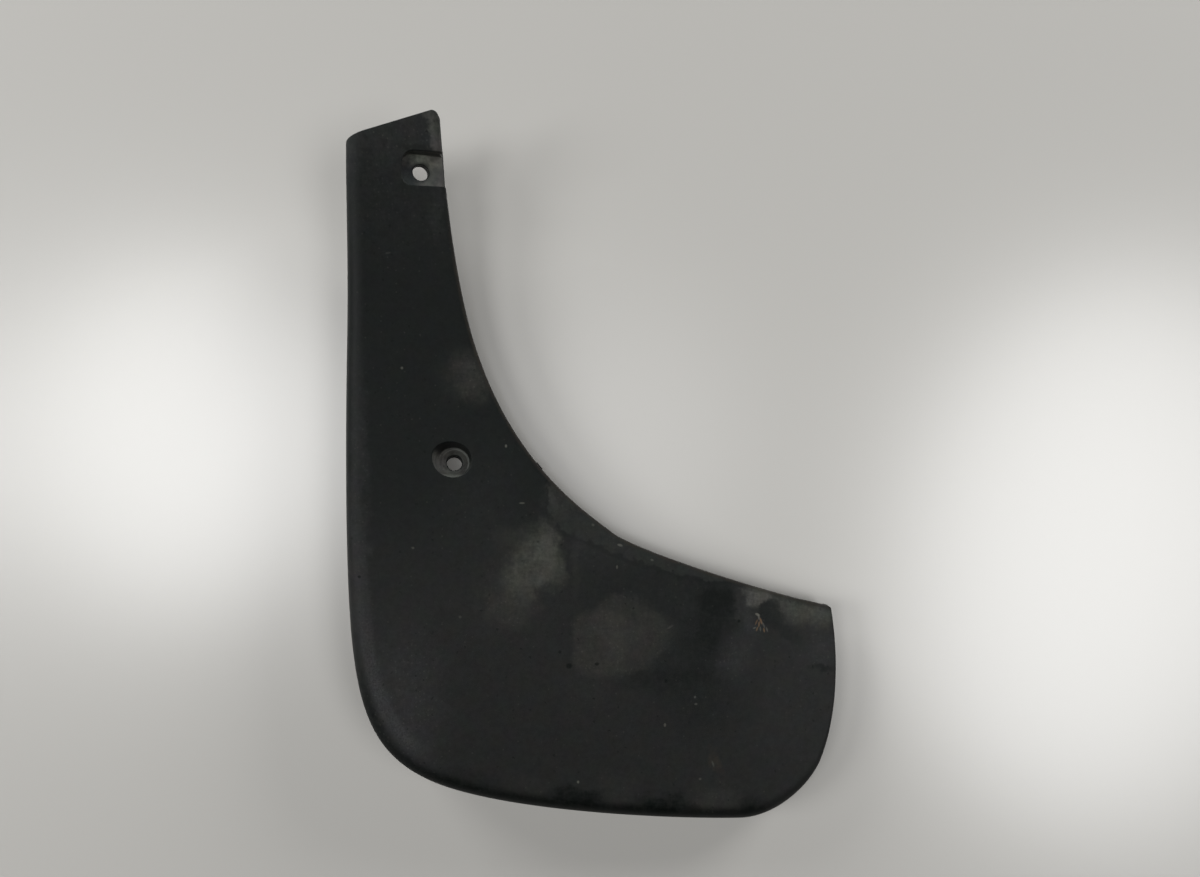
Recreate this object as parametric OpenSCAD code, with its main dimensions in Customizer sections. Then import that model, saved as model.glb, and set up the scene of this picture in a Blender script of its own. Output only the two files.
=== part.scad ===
// Moulded mud flap for a car's wheel arch: one plastic shell, open at the back.
// A narrow fixing arm runs up from a broad flap, and the outer and lower sides turn down into a rim.
// The face is up. +X runs from the rim side to the free end, +Y up the arm.
// The origin is under the middle of the part, on the ground that the rim stands on.

/* [Size] */
// Width over all, from the rim side to the free end
flap_w = 211.6; // [190:0.1:240]
// Length over all, from the lower rim to the arm's tip
flap_l = 299.1; // [270:0.1:330]
// Thickness of the moulded wall
skin = 3; // [2.4:0.1:3.6]

/* [Rim] */
// Height of the face above the ground along the rim side
rim_h = 30; // [26:0.5:36]
// Radius that turns the face down into the rim
turn_r = 9; // [6:0.5:11]
// Radius left on the free end, where the turn has faded out
end_r = 1.2; // [0.8:0.1:2]
// Depth of the low bead under the free end's edge
bead = 1.5; // [1.1:0.1:3]

/* [Face] */
// How far the arm's tip climbs above the rest of the face
tip_climb = 20; // [10:1:24]
// Where the climb starts, measured up from the middle
climb_from = 57; // [45:1:70]
// Sideways fall of the face at the lower rim, as a slope
fall_low = 0.07; // [0.04:0.01:0.08]
// Extra sideways fall of the face by the arm's tip
fall_more = 0.15; // [0.1:0.01:0.2]
// Height of the gentle bulge in the middle of the flap
crown = 2.5; // [0:0.5:4]

/* [Screw seats] */
// Diameter of both screw holes
hole_d = 6.6; // [6:0.1:7.6]
// Lead-in chamfer of both screw holes
hole_chamfer = 0.5; // [0.3:0.1:0.8]
// Lean of the open seat's screw axis towards the free end, in degrees
tip_seat_lean = 20; // [16:1:24]
// Lean of the middle seat's screw axis towards the free end, in degrees
mid_seat_lean = 12; // [8:1:15]
// Lean of the middle seat's screw axis up the arm, in degrees
mid_seat_rise = 16; // [11:1:18]
// Depth of the open seat's floor below the face
tip_seat_depth = 3.6; // [3.2:0.1:4.2]
// Depth of the middle seat's floor below the face
mid_seat_depth = 4.5; // [4.2:0.1:5]
// Thickness of the seats' floors
seat_floor = 4; // [3.5:0.1:5]
// Width of the open seat by the arm's tip
tip_seat_w = 13; // [12.4:0.1:13.6]
// Distance from the open seat's screw axis to its closed side
tip_seat_back = 8.2; // [7.8:0.1:8.6]
// Radius of the open seat's two corners
tip_seat_corner = 4.4; // [3:0.1:5.5]
// Diameter of the middle seat's floor
mid_seat_d = 12; // [11.4:0.1:12.6]

/* [Hidden] */

// The outline was drawn at this width and length, and is scaled to the two sizes above
drawn_w = 211.6;
drawn_l = 299.1;
sx = flap_w / drawn_w;
sy = flap_l / drawn_l;
// Moves the drawn outline so that the origin is under the middle of the part
centring = [0.92 * sx, 0.66 * sy, 0];
slip = 0.1;

// Rim line in plan as joined curves: rim side, lower corner, lower rim, far corner, free end
rim_line = [
    [[-102.1, 137.2], [-107.2, 98], [-107.2, 5.3], [-106.3, -28.7]],
    [[-106.3, -28.7], [-104.7, -90], [-100.8, -116], [-71.6, -130.2]],
    [[-71.6, -130.2], [-42.3, -144.8], [38, -150.3], [62.8, -150.2]],
    [[62.8, -150.2], [78.5, -150.1], [93.3, -136.1], [97.9, -124.4]],
    [[97.9, -124.4], [104.4, -107.9], [107, -83], [103, -57.3]]
];
// Hollow edge in plan: beside the arm, round the bend, along the flap
hollow_line = [
    [[-63.5, 149.8], [-63.8, 103], [-56.5, 70.8], [-52.2, 57.1]],
    [[-52.2, 57.1], [-35.3, 3.2], [-2.4, -16.5], [6.7, -24]],
    [[6.7, -24], [16.8, -32.4], [82.4, -53.5], [103, -57.3]]
];
// Place on the hollow edge that each joint of the rim line is paired with
pairing = [0, 1.5, 1.85, 2.55, 2.68, 2.82];
// Ribs laid across the part between one joint and the next
rib_counts = [22, 20, 15, 12, 12];
turn_steps = 6;
face_steps = 10;

// Screw seats: place in plan, lean and rise of the screw axis, depth of the floor
tip_seat = [-71.4 * sx, 126.8 * sy, tip_seat_lean, 0, tip_seat_depth];
mid_seat = [-59.6 * sx, 7.1 * sy, mid_seat_lean, mid_seat_rise, mid_seat_depth];
// Place on the hollow edge beside the open seat
tip_seat_edge = 0.22;
// How far the open seat's boss ends inside the hollow edge
open_seat_back = 1;
// The open seat lies this much higher up the arm than its screw hole
tip_seat_shift = 0.7;
tip_boss_r = 10.9;
// The middle seat's mouth is wider than its floor, oval and drawn to one side
mouth_size = [18.1, 15.2];
mouth_shift = [-2.2, -0.4];
seat_wall = 3.6;
// Seats start this far below the face, inside the wall
seat_sink = 1.3;

// Radii of the three rounded corners
tip_outer_r = 3.5;
tip_inner_r = 2.6;
end_corner_r = 2.2;

// Small gate mark on the hollow edge
gate_at = 1.435;
gate_size = [1.4, 3.8, 1.8];
gate_proud = 0.4;

function mix(a, b, t) = a + (b - a) * t;
function smooth(t) = let (c = min(1, max(0, t))) c * c * (3 - 2 * c);
function unit(v) = v / norm(v);

// Point and direction on a cubic curve
function on_curve(p, t) =
    pow(1 - t, 3) * p[0] + 3 * t * pow(1 - t, 2) * p[1] + 3 * t * t * (1 - t) * p[2] + pow(t, 3) * p[3];
function curve_way(p, t) =
    pow(1 - t, 2) * (p[1] - p[0]) + 2 * t * (1 - t) * (p[2] - p[1]) + t * t * (p[3] - p[2]);

// Point and direction on a line of joined curves, at a place counted in curves
function piece_of(line, s) = min(len(line) - 1, floor(s));
function on_line(line, s) =
    let (k = piece_of(line, s), p = on_curve(line[k], s - k)) [p.x * sx, p.y * sy];
function line_way(line, s) =
    let (k = piece_of(line, s), w = curve_way(line[k], s - k)) unit([w.x * sx, w.y * sy]);

// Height of the moulded face over the ground, and its slopes
function bulge(x, y) = crown * exp(-pow((x - 5) / 99, 2) - pow((y + 65) / 85, 2));
function face_z(x, y) =
    let (climb = max(0, (y - climb_from) / 84),
         fall = fall_low + fall_more * pow(y / flap_l + 0.5, 2))
    rim_h + tip_climb * climb * climb - fall * (x + flap_w / 2) + bulge(x, y);
function slope_x(x, y) = face_z(x + 0.5, y) - face_z(x - 0.5, y);
function slope_y(x, y) = face_z(x, y + 0.5) - face_z(x, y - 0.5);
function skin_drop(x, y) = skin * sqrt(1 + pow(slope_x(x, y), 2) + pow(slope_y(x, y), 2));

// The turn's radius fades after the lower rim, and the rim's foot lifts at both ends
function turn_at(s) = mix(turn_r, end_r, smooth((s - 2.8) / 1.7));
function foot_at(s, x, y) =
    let (top = face_z(x, y) - skin_drop(x, y) - max(turn_at(s) - skin, 0.5),
         by_tip = 22 * pow(max(0, (y - 68) / 70), 1.5),
         by_end = (top - bead + 0.5) * smooth((s - 4.1) / 0.9))
    max(by_tip, by_end);

// One rib of the shell: from the rim's foot over the turn and the face, and back inside
function rib(s, h) =
    let (a = on_line(rim_line, s),
         b = on_line(hollow_line, h),
         way = line_way(rim_line, s),
         inward = [-way.y, way.x],
         across = unit(b - a),
         lean = across * inward,
         reach = norm(b - a) * lean,
         r = turn_at(s),
         ri = max(r - skin, 0.5),
         foot = foot_at(s, a.x, a.y),
         at = function (d) a + across * d / lean,
         outer_turn = [for (i = [0:turn_steps])
             let (q = 90 * i / turn_steps, p = at(r * (1 - cos(q))))
             [p.x, p.y, face_z(p.x, p.y) - r * (1 - sin(q))]],
         outer_face = [for (i = [1:face_steps])
             let (p = at(mix(r, reach, i / face_steps)))
             [p.x, p.y, face_z(p.x, p.y)]],
         inner_turn = [for (i = [0:turn_steps])
             let (q = 90 * i / turn_steps, p = at(skin + ri * (1 - cos(q))))
             [p.x, p.y, face_z(p.x, p.y) - skin_drop(p.x, p.y) - ri * (1 - sin(q))]],
         inner_face = [for (i = [1:face_steps])
             let (p = at(mix(skin + ri, reach, i / face_steps)))
             [p.x, p.y, face_z(p.x, p.y) - skin_drop(p.x, p.y)]],
         foot_in = at(skin),
         outer = concat([[a.x, a.y, foot]], outer_turn, outer_face),
         inner = concat([[foot_in.x, foot_in.y, foot]], inner_turn, inner_face),
         n = len(inner))
    concat(outer, [for (i = [n - 1:-1:0]) inner[i]]);

// Places of all ribs along the rim line and the hollow edge
rib_places = concat(
    [for (k = [0:len(rib_counts) - 1], i = [0:rib_counts[k] - 1])
        let (t = i / rib_counts[k]) [k + t, mix(pairing[k], pairing[k + 1], t)]],
    [[len(rim_line), pairing[len(pairing) - 1]]]);

// Shell without its seats and with sharp corners
module shell() {
    ribs = [for (p = rib_places) rib(p[0], p[1])];
    n = len(ribs[0]);
    last = len(ribs) - 1;
    half = n / 2;
    walls = [for (i = [0:last - 1], j = [0:n - 1])
        let (k = (j + 1) % n, a = i * n + j, b = i * n + k, c = a + n, d = b + n)
        each [[a, b, c], [b, d, c]]];
    tip_cap = [for (j = [0:half - 2])
        let (a = j, b = j + 1, c = n - 1 - j, d = n - 2 - j) each [[a, c, b], [b, c, d]]];
    end_cap = [for (f = tip_cap) [for (v = [2:-1:0]) f[v] + last * n]];
    polyhedron(points = [for (r = ribs, p = r) p], faces = concat(walls, tip_cap, end_cap));
}

// Takes a sharp corner off in plan, between two directions that leave the corner
module corner_cut(at, way_1, way_2, r) {
    half_angle = acos(way_1 * way_2) / 2;
    middle = unit(way_1 + way_2);
    centre = at + middle * (r / sin(half_angle)) - middle * slip;
    foot_1 = at + way_1 * r / tan(half_angle);
    foot_2 = at + way_2 * r / tan(half_angle);
    difference() {
        linear_extrude(height = 80)
            polygon([centre, mix(centre, foot_1, 1.5), at - middle * 3, mix(centre, foot_2, 1.5)]);
        translate([centre.x, centre.y, -1]) cylinder(h = 82, r = r, $fn = 48);
    }
}

// Rounds off the arm's two corners and the free end's corner
module corner_cuts() {
    tip_a = on_line(rim_line, 0);
    tip_b = on_line(hollow_line, 0);
    end = on_line(rim_line, len(rim_line));
    corner_cut(tip_a, unit(tip_b - tip_a), line_way(rim_line, 0), tip_outer_r);
    corner_cut(tip_b, unit(tip_a - tip_b), line_way(hollow_line, 0), tip_inner_r);
    corner_cut(end, -line_way(rim_line, len(rim_line)), -line_way(hollow_line, len(hollow_line)), end_corner_r);
}

// Places its children on the face at a seat, along the leaning screw axis
module on_seat(seat) {
    translate([seat.x, seat.y, face_z(seat.x, seat.y)]) rotate([-seat[3], seat[2], 0]) children();
}

// Places its children on the floor of a seat
module on_floor(seat) {
    on_seat(seat) translate([0, 0, -seat[4]]) children();
}

// Everything below the face's tangent plane at a seat, as a block
module under_face(at) {
    gx = slope_x(at.x, at.y);
    gy = slope_y(at.x, at.y);
    translate([at.x, at.y, face_z(at.x, at.y) - seat_sink])
        rotate([asin(gy / norm([gx, gy, 1])), -atan(gx), 0])
        translate([-30, -30, -40]) cube([60, 60, 40]);
}

// Round boss of a seat, behind the face
module seat_boss(seat, r) {
    intersection() {
        on_floor(seat) translate([0, 0, -seat_floor]) cylinder(h = 30, r = r, $fn = 96);
        under_face(seat);
    }
}

// Straight part of the open seat's boss, run out to just short of the hollow edge
module open_boss(seat, r) {
    edge = on_line(hollow_line, tip_seat_edge);
    way = line_way(hollow_line, tip_seat_edge);
    difference() {
        intersection() {
            on_floor(seat) translate([0, -r, -seat_floor]) cube([25, 2 * r, 30]);
            under_face(seat);
        }
        translate([edge.x, edge.y, 0]) rotate([0, 0, atan2(way.y, way.x) + 90])
            translate([-open_seat_back, -30, 0]) cube([40, 60, 80]);
    }
}

// Screw hole with its lead-in, through a seat's floor
module seat_hole(seat) {
    on_floor(seat) {
        translate([0, 0, -seat_floor - 5]) cylinder(h = seat_floor + 10, d = hole_d, $fn = 64);
        translate([0, 0, -hole_chamfer])
            cylinder(h = hole_chamfer + slip, d1 = hole_d, d2 = hole_d + 2 * (hole_chamfer + slip), $fn = 64);
    }
}

// U-shaped pocket that is open to the hollow edge
module open_pocket(seat, w, r) {
    on_floor(seat) translate([r - tip_seat_back, tip_seat_shift, 0]) {
        translate([0, -w / 2, 0]) cube([40, w, 30]);
        translate([-r, r - w / 2, 0]) cube([2 * r, w - 2 * r, 30]);
        for (y = [r - w / 2, w / 2 - r]) translate([0, y, 0]) cylinder(h = 30, r = r, $fn = 64);
    }
}

// Oval dish whose walls slope from a wide mouth to a round floor
module dished_pocket(seat) {
    grow = 2;
    on_floor(seat) hull() {
        cylinder(h = 0.01, d = mid_seat_d, $fn = 32);
        translate([mouth_shift.x * grow, mouth_shift.y * grow, seat[4] * grow])
            scale([mix(mid_seat_d, mouth_size.x, grow) / 10, mix(mid_seat_d, mouth_size.y, grow) / 10, 1])
            cylinder(h = 0.01, d = 10, $fn = 32);
    }
}

// Gate mark left by the mould
module gate_mark() {
    p = on_line(hollow_line, gate_at);
    way = line_way(hollow_line, gate_at);
    z = face_z(p.x, p.y) - 0.6 - gate_size.z;
    translate([p.x, p.y, z]) rotate([0, 0, atan2(way.y, way.x) + 90])
        translate([gate_proud - gate_size.x, -gate_size.y / 2, 0]) cube(gate_size);
}

module mudguard() {
    color([0.13, 0.135, 0.135]) translate(centring)
    difference() {
        union() {
            shell();
            seat_boss(tip_seat, tip_boss_r);
            open_boss(tip_seat, tip_boss_r);
            seat_boss(mid_seat, mid_seat_d / 2 + seat_wall);
            gate_mark();
        }
        open_pocket(tip_seat, tip_seat_w, tip_seat_corner);
        dished_pocket(mid_seat);
        seat_hole(tip_seat);
        seat_hole(mid_seat);
        corner_cuts();
    }
}

mudguard();
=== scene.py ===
"""A moulded black plastic mud flap that lies face up on a pale glossy table, seen from straight above.

The shape is worked out here in millimetres, from the same sizes as the solid part, and made in metres.
+X runs from the rim side to the free end of the flap, +Y up the fixing arm, and the face is up.
The marks on the face, painted highlights, sheen and shade among them, lie on their measured places in
millimetres, as layers over the plastic's colour.
"""

import math
from typing import NamedTuple

import bmesh
import bpy
import numpy as np
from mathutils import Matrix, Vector


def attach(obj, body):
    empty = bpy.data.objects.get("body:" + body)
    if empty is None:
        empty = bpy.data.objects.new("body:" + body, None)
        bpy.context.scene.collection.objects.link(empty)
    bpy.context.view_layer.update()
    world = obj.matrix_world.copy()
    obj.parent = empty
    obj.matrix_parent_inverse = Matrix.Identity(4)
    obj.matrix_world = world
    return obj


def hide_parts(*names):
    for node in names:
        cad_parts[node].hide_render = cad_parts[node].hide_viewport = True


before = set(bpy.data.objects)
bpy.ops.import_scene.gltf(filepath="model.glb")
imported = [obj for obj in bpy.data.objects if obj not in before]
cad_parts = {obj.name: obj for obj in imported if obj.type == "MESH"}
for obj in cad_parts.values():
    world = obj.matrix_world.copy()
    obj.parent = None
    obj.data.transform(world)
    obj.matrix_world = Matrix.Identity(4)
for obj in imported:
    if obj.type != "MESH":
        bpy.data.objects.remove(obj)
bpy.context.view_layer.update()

MM = 0.001

# Size over all and wall, in millimetres
FLAP_W = 211.6
FLAP_L = 299.1
SKIN = 3.0

# Rim: height of the face along it, and the radius of the turn down into it, which fades out to the free end.
# Places along the rim are counted in curves of its line
RIM_H = 30.0
TURN_R = 9.0
END_R = 1.2
INNER_R = 0.5
TURN_FADE_FROM = 2.8
TURN_FADE_RUN = 1.7

# Rim's foot: its lift by the arm's tip, and its lift to a low bead under the free end
TIP_LIFT = 22.0
TIP_LIFT_FROM = 68.0
TIP_LIFT_RUN = 70.0
BEAD = 1.5
BEAD_FROM = 4.1
BEAD_RUN = 0.9

# Face: climb of the arm's tip, sideways fall as a slope, and the gentle bulge of the flap
TIP_CLIMB = 20.0
CLIMB_FROM = 57.0
CLIMB_RUN = 84.0
FALL_LOW = 0.07
FALL_MORE = 0.15
CROWN = 2.5
CROWN_AT = (5.0, -65.0)
CROWN_REACH = (99.0, 85.0)

# Moves the outline so that the origin is under the middle of the part
CENTRING = np.array([0.92, 0.66, 0.0])

# Both screw seats
HOLE_D = 6.6
HOLE_CHAMFER = 0.5
SEAT_FLOOR = 4.0
SEAT_SINK = 1.3

# Open seat by the arm's tip. Its shift is how much higher up the arm it lies than its screw hole
TIP_SEAT_W = 13.0
TIP_SEAT_BACK = 8.2
TIP_SEAT_CORNER = 4.4
TIP_SEAT_SHIFT = 0.7
TIP_BOSS_R = 10.9
TIP_SEAT_EDGE = 0.22
OPEN_SEAT_BACK = 1.0

# Middle seat: a round floor, and an oval mouth that is drawn to one side
MID_SEAT_D = 12.0
MOUTH_SIZE = np.array([18.1, 15.2])
MOUTH_SHIFT = np.array([-2.2, -0.4])
SEAT_WALL = 3.6


class Seat(NamedTuple):
    """Place in plan, lean of the screw axis to the free end, its rise up the arm, and depth of the floor."""

    x: float
    y: float
    lean: float
    rise: float
    depth: float


TIP_SEAT = Seat(-71.4, 126.8, 20, 0, 3.6)
MID_SEAT = Seat(-59.6, 7.1, 12, 16, 4.5)

# Small roundings of the moulding's edges
TRIM_ROUND = 0.35
FOOT_ROUND = 0.4
LIP_ROUND = 0.45
FLOOR_ROUND = 0.5

# Corners in plan, and the gate mark on the hollow edge
TIP_OUTER_R = 3.5
TIP_INNER_R = 2.6
END_CORNER_R = 2.2
GATE_AT = 1.435
GATE_SIZE = (1.4, 3.8, 1.8)
GATE_PROUD = 0.4
GATE_DROP = 0.6

# Outline in plan as joined curves, each with its two ends and two handles: the rim side, lower corner,
# lower rim, far corner and free end, then the hollow edge beside the arm, round the bend and along the flap
RIM_LINE = np.array([
    [[-102.1, 137.2], [-107.2, 98], [-107.2, 5.3], [-106.3, -28.7]],
    [[-106.3, -28.7], [-104.7, -90], [-100.8, -116], [-71.6, -130.2]],
    [[-71.6, -130.2], [-42.3, -144.8], [38, -150.3], [62.8, -150.2]],
    [[62.8, -150.2], [78.5, -150.1], [93.3, -136.1], [97.9, -124.4]],
    [[97.9, -124.4], [104.4, -107.9], [107, -83], [103, -57.3]],
])
HOLLOW_LINE = np.array([
    [[-63.5, 149.8], [-63.8, 103], [-56.5, 70.8], [-52.2, 57.1]],
    [[-52.2, 57.1], [-35.3, 3.2], [-2.4, -16.5], [6.7, -24]],
    [[6.7, -24], [16.8, -32.4], [82.4, -53.5], [103, -57.3]],
])
# Place on the hollow edge that each joint of the rim line is paired with
PAIRING = [0, 1.5, 1.85, 2.55, 2.68, 2.82]

# How finely the shell is laid out
RIB_COUNTS = [110, 84, 80, 32, 40]
TURN_STEPS = 14
WALL_STEPS = 6
FACE_STEPS = 62
BACK_STEPS = 40
INNER_WALL_STEPS = 3
ROUND_STEPS = 3
QUARTER = np.linspace(0, math.pi / 2, ROUND_STEPS + 1)

# How finely seats, holes and corners are laid out, and the passes that settle a height on the curved face
SEAT_STEPS = 96
HOLE_STEPS = 64
CORNER_STEPS = 16
LIP_ANGLES = (0, 20, 40, 60, 75)
FACE_PASSES = 6
LIP_PASSES = 3

# How far the cutters and bosses reach past what they cut or join
POCKET_RUN = 30.0
POCKET_TOP = 14.0
POCKET_STEP = 0.1
HOLE_BELOW = 5.0
HOLE_ABOVE = 0.2
BOSS_RUN = 25.0
BOSS_TOP = 20.0
CORNER_OUT = 3.0
CORNER_HEIGHTS = (-1.0, 80.0)

# Edges that turn by more degrees than this stay crisp
CRISP_FROM = 32


def mix(a, b, t):
    return a + (b - a) * t


def smooth(t):
    """0 up to 0 and 1 from 1 on, with a smooth change between."""
    c = np.clip(t, 0, 1)
    return c * c * (3 - 2 * c)


def unit(v):
    return v / np.linalg.norm(v, axis=-1, keepdims=True)


def circle(steps):
    """Points round a circle of radius 1."""
    angles = np.linspace(0, 2 * math.pi, steps, endpoint=False)
    return np.column_stack([np.cos(angles), np.sin(angles)])


def curves_at(line, s):
    """The curves that places on a line lie on, and how far along them, where places are counted in curves."""
    s = np.atleast_1d(np.asarray(s, float))
    k = np.minimum(len(line) - 1, np.floor(s).astype(int))
    return line[k].swapaxes(0, 1), (s - k)[:, None]


def on_line(line, s):
    """Points on a line of joined cubic curves."""
    p, t = curves_at(line, s)
    return (1 - t) ** 3 * p[0] + 3 * t * (1 - t) ** 2 * p[1] + 3 * t * t * (1 - t) * p[2] + t**3 * p[3]


def line_way(line, s):
    """Unit directions along a line of joined curves."""
    p, t = curves_at(line, s)
    return unit((1 - t) ** 2 * (p[1] - p[0]) + 2 * t * (1 - t) * (p[2] - p[1]) + t * t * (p[3] - p[2]))


def face_z(x, y):
    """Height of the moulded face over the table."""
    climb = np.maximum(0, (y - CLIMB_FROM) / CLIMB_RUN)
    fall = FALL_LOW + FALL_MORE * (y / FLAP_L + 0.5) ** 2
    reach = ((x - CROWN_AT[0]) / CROWN_REACH[0]) ** 2 + ((y - CROWN_AT[1]) / CROWN_REACH[1]) ** 2
    return RIM_H + TIP_CLIMB * climb**2 - fall * (x + FLAP_W / 2) + CROWN * np.exp(-reach)


def face_slopes(x, y):
    """Slopes of the face along X and along Y."""
    return face_z(x + 0.5, y) - face_z(x - 0.5, y), face_z(x, y + 0.5) - face_z(x, y - 0.5)


def skin_drop(x, y):
    """Upright distance from the face down to the back of the wall."""
    gx, gy = face_slopes(x, y)
    return SKIN * np.sqrt(1 + gx**2 + gy**2)


def turn_at(s):
    """Radius of the turn into the rim, which fades out towards the free end."""
    return mix(TURN_R, END_R, smooth((s - TURN_FADE_FROM) / TURN_FADE_RUN))


def inner_turn_at(s):
    """Radius of the turn on the back of the wall."""
    return np.maximum(turn_at(s) - SKIN, INNER_R)


def foot_at(s, a):
    """Height of the rim's foot, which lifts at the arm's tip and under the free end."""
    x, y = a.T
    top = face_z(x, y) - skin_drop(x, y) - inner_turn_at(s)
    by_tip = TIP_LIFT * np.maximum(0, (y - TIP_LIFT_FROM) / TIP_LIFT_RUN) ** 1.5
    by_end = (top - BEAD + INNER_R) * smooth((s - BEAD_FROM) / BEAD_RUN)
    return np.maximum(by_tip, by_end)


def rib_places():
    """Places of all ribs along the rim line, with how far each section is drawn in to round the two ends."""
    curves = len(RIM_LINE)
    s = np.concatenate([k + np.arange(n) / n for k, n in enumerate(RIB_COUNTS)] + [[curves]])
    start_speed = 3 * np.linalg.norm(RIM_LINE[0][1] - RIM_LINE[0][0])
    end_speed = 3 * np.linalg.norm(RIM_LINE[-1][3] - RIM_LINE[-1][2])
    back_off = TRIM_ROUND * (1 - np.cos(QUARTER))
    drawn_in = TRIM_ROUND * (1 - np.sin(QUARTER))
    start = back_off / start_speed
    end = curves - back_off[::-1] / end_speed
    between = s[(s > start[-1]) & (s < end[0])]
    places = np.concatenate([start, between, end])
    inset = np.concatenate([drawn_in, np.zeros(len(between)), drawn_in[::-1]])
    return places, inset


def shell_grid():
    """Points of the shell: one closed section after another, each from the foot over the face and back."""
    s, inset = rib_places()
    a = on_line(RIM_LINE, s)
    b = on_line(HOLLOW_LINE, np.interp(s, range(len(PAIRING)), PAIRING))
    way = line_way(RIM_LINE, s)
    inward = np.column_stack([-way[:, 1], way[:, 0]])
    across = unit(b - a)
    lean = (across * inward).sum(1)
    edge = np.linalg.norm(b - a, axis=1) * lean - inset - TRIM_ROUND
    outer_r, inner_r = turn_at(s), inner_turn_at(s)
    foot = foot_at(s, a) + inset
    rows = []

    def at(d):
        return a + across * (d / lean)[:, None]

    def lay(d, height):
        """Adds a row this far in from the rim line. Its height is given, or worked out from the place."""
        p = at(d)
        rows.append(np.column_stack([p, height(*p.T) if callable(height) else height]))

    def front_z(x, y):
        return face_z(x, y) - inset

    def back_z(x, y):
        return face_z(x, y) - skin_drop(x, y) + inset

    # Up the outside of the rim from its foot
    for q in QUARTER[1:]:
        lay(inset + FOOT_ROUND * (1 - np.sin(q)), foot + FOOT_ROUND * (1 - np.cos(q)))
    wall_low = foot + FOOT_ROUND
    wall_top = face_z(*a.T) - outer_r
    for i in range(1, WALL_STEPS):
        lay(inset, mix(wall_low, wall_top, i / WALL_STEPS))
    # Round the turn and over the face
    turn = np.linspace(0, math.pi / 2, TURN_STEPS + 1)
    r = outer_r - inset
    for q in turn:
        lay(outer_r - r * np.cos(q), lambda x, y: front_z(x, y) - r * (1 - np.sin(q)))
    for i in range(1, FACE_STEPS):
        lay(mix(outer_r, edge, i / FACE_STEPS), front_z)
    # Down the cut wall of the hollow edge
    for q in QUARTER:
        lay(edge + TRIM_ROUND * np.sin(q), lambda x, y: front_z(x, y) - TRIM_ROUND * (1 - np.cos(q)))
    for q in QUARTER[::-1]:
        lay(edge + TRIM_ROUND * np.sin(q), lambda x, y: back_z(x, y) + TRIM_ROUND * (1 - np.cos(q)))
    # Along the back and round the inside of the turn, in half as many steps
    for i in range(BACK_STEPS - 1, 0, -1):
        lay(mix(SKIN + inner_r, edge, i / BACK_STEPS), back_z)
    r = inner_r + inset
    for q in turn[::-2]:
        lay(SKIN + inner_r - r * np.cos(q), lambda x, y: back_z(x, y) - r * (1 - np.sin(q)))
    # Down the inside of the rim to its foot
    inner_top = back_z(*at(SKIN - inset).T) - inner_r - inset
    for i in range(INNER_WALL_STEPS - 1, 0, -1):
        lay(SKIN - inset, mix(wall_low, inner_top, i / INNER_WALL_STEPS))
    for q in QUARTER[:0:-1]:
        lay(SKIN - inset - FOOT_ROUND * (1 - np.sin(q)), foot + FOOT_ROUND * (1 - np.cos(q)))
    return np.stack(rows, axis=1)


def new_object(name, data):
    """Puts an object with this data into the scene."""
    obj = bpy.data.objects.new(name, data)
    bpy.context.scene.collection.objects.link(obj)
    return obj


def new_mesh(name, points, faces):
    """A mesh object in metres from points in the outline's own place, in millimetres."""
    mesh = bpy.data.meshes.new(name)
    mesh.from_pydata(((np.asarray(points) + CENTRING) * MM).tolist(), [], faces)
    mesh.validate()
    return new_object(name, mesh)


def loft_faces(rings, n):
    """Quads between one ring of n points and the next, with a flat face over each end."""
    faces = [list(range(n - 1, -1, -1))]
    for i in range(rings - 1):
        for j in range(n):
            k = (j + 1) % n
            faces.append([i * n + j, i * n + k, (i + 1) * n + k, (i + 1) * n + j])
    faces.append([(rings - 1) * n + j for j in range(n)])
    return faces


def new_loft(name, rings):
    """A closed mesh through rings of equally many points."""
    return new_mesh(name, np.concatenate(rings), loft_faces(len(rings), len(rings[0])))


def make_shell():
    """The moulding without seats, holes or corners."""
    grid = shell_grid()
    ribs, n, _ = grid.shape
    faces = [face[::-1] for face in loft_faces(ribs, n)]
    return new_mesh("mudguard_shell", grid.reshape(-1, 3), faces)


def seat_frame(seat):
    """Place on the face, and the leaning screw axis after the two directions across it."""
    lean, rise = math.radians(seat.lean), math.radians(seat.rise)
    axis = np.array([math.cos(rise) * math.sin(lean), math.sin(rise), math.cos(rise) * math.cos(lean)])
    across = np.array([math.cos(lean), 0, -math.sin(lean)])
    origin = np.array([seat.x, seat.y, face_z(seat.x, seat.y)])
    return origin, np.array([across, np.cross(axis, across), axis])


def face_over(origin, axes, uv):
    """Height of the face along the screw axis, over points given across the axis."""
    w = np.zeros(len(uv))
    for _ in range(FACE_PASSES):
        p = origin + uv @ axes[:2] + w[:, None] * axes[2]
        w = w + (face_z(p[:, 0], p[:, 1]) - p[:, 2]) / axes[2][2]
    return w


def u_outline(r, run):
    """U shape about the screw axis: half a circle, with straight sides that run out along +X."""
    angles = np.linspace(math.pi / 2, 3 * math.pi / 2, SEAT_STEPS // 2 + 1)
    arc = np.column_stack([np.cos(angles), np.sin(angles)]) * r
    return np.concatenate([[[run, r]], arc, [[run, -r]]])


def outline_normals(uv):
    """Outward directions of a closed outline that runs anticlockwise."""
    along = unit(np.roll(uv, -1, axis=0) - uv) + unit(uv - np.roll(uv, 1, axis=0))
    along = unit(along)
    return np.column_stack([along[:, 1], -along[:, 0]])


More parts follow.
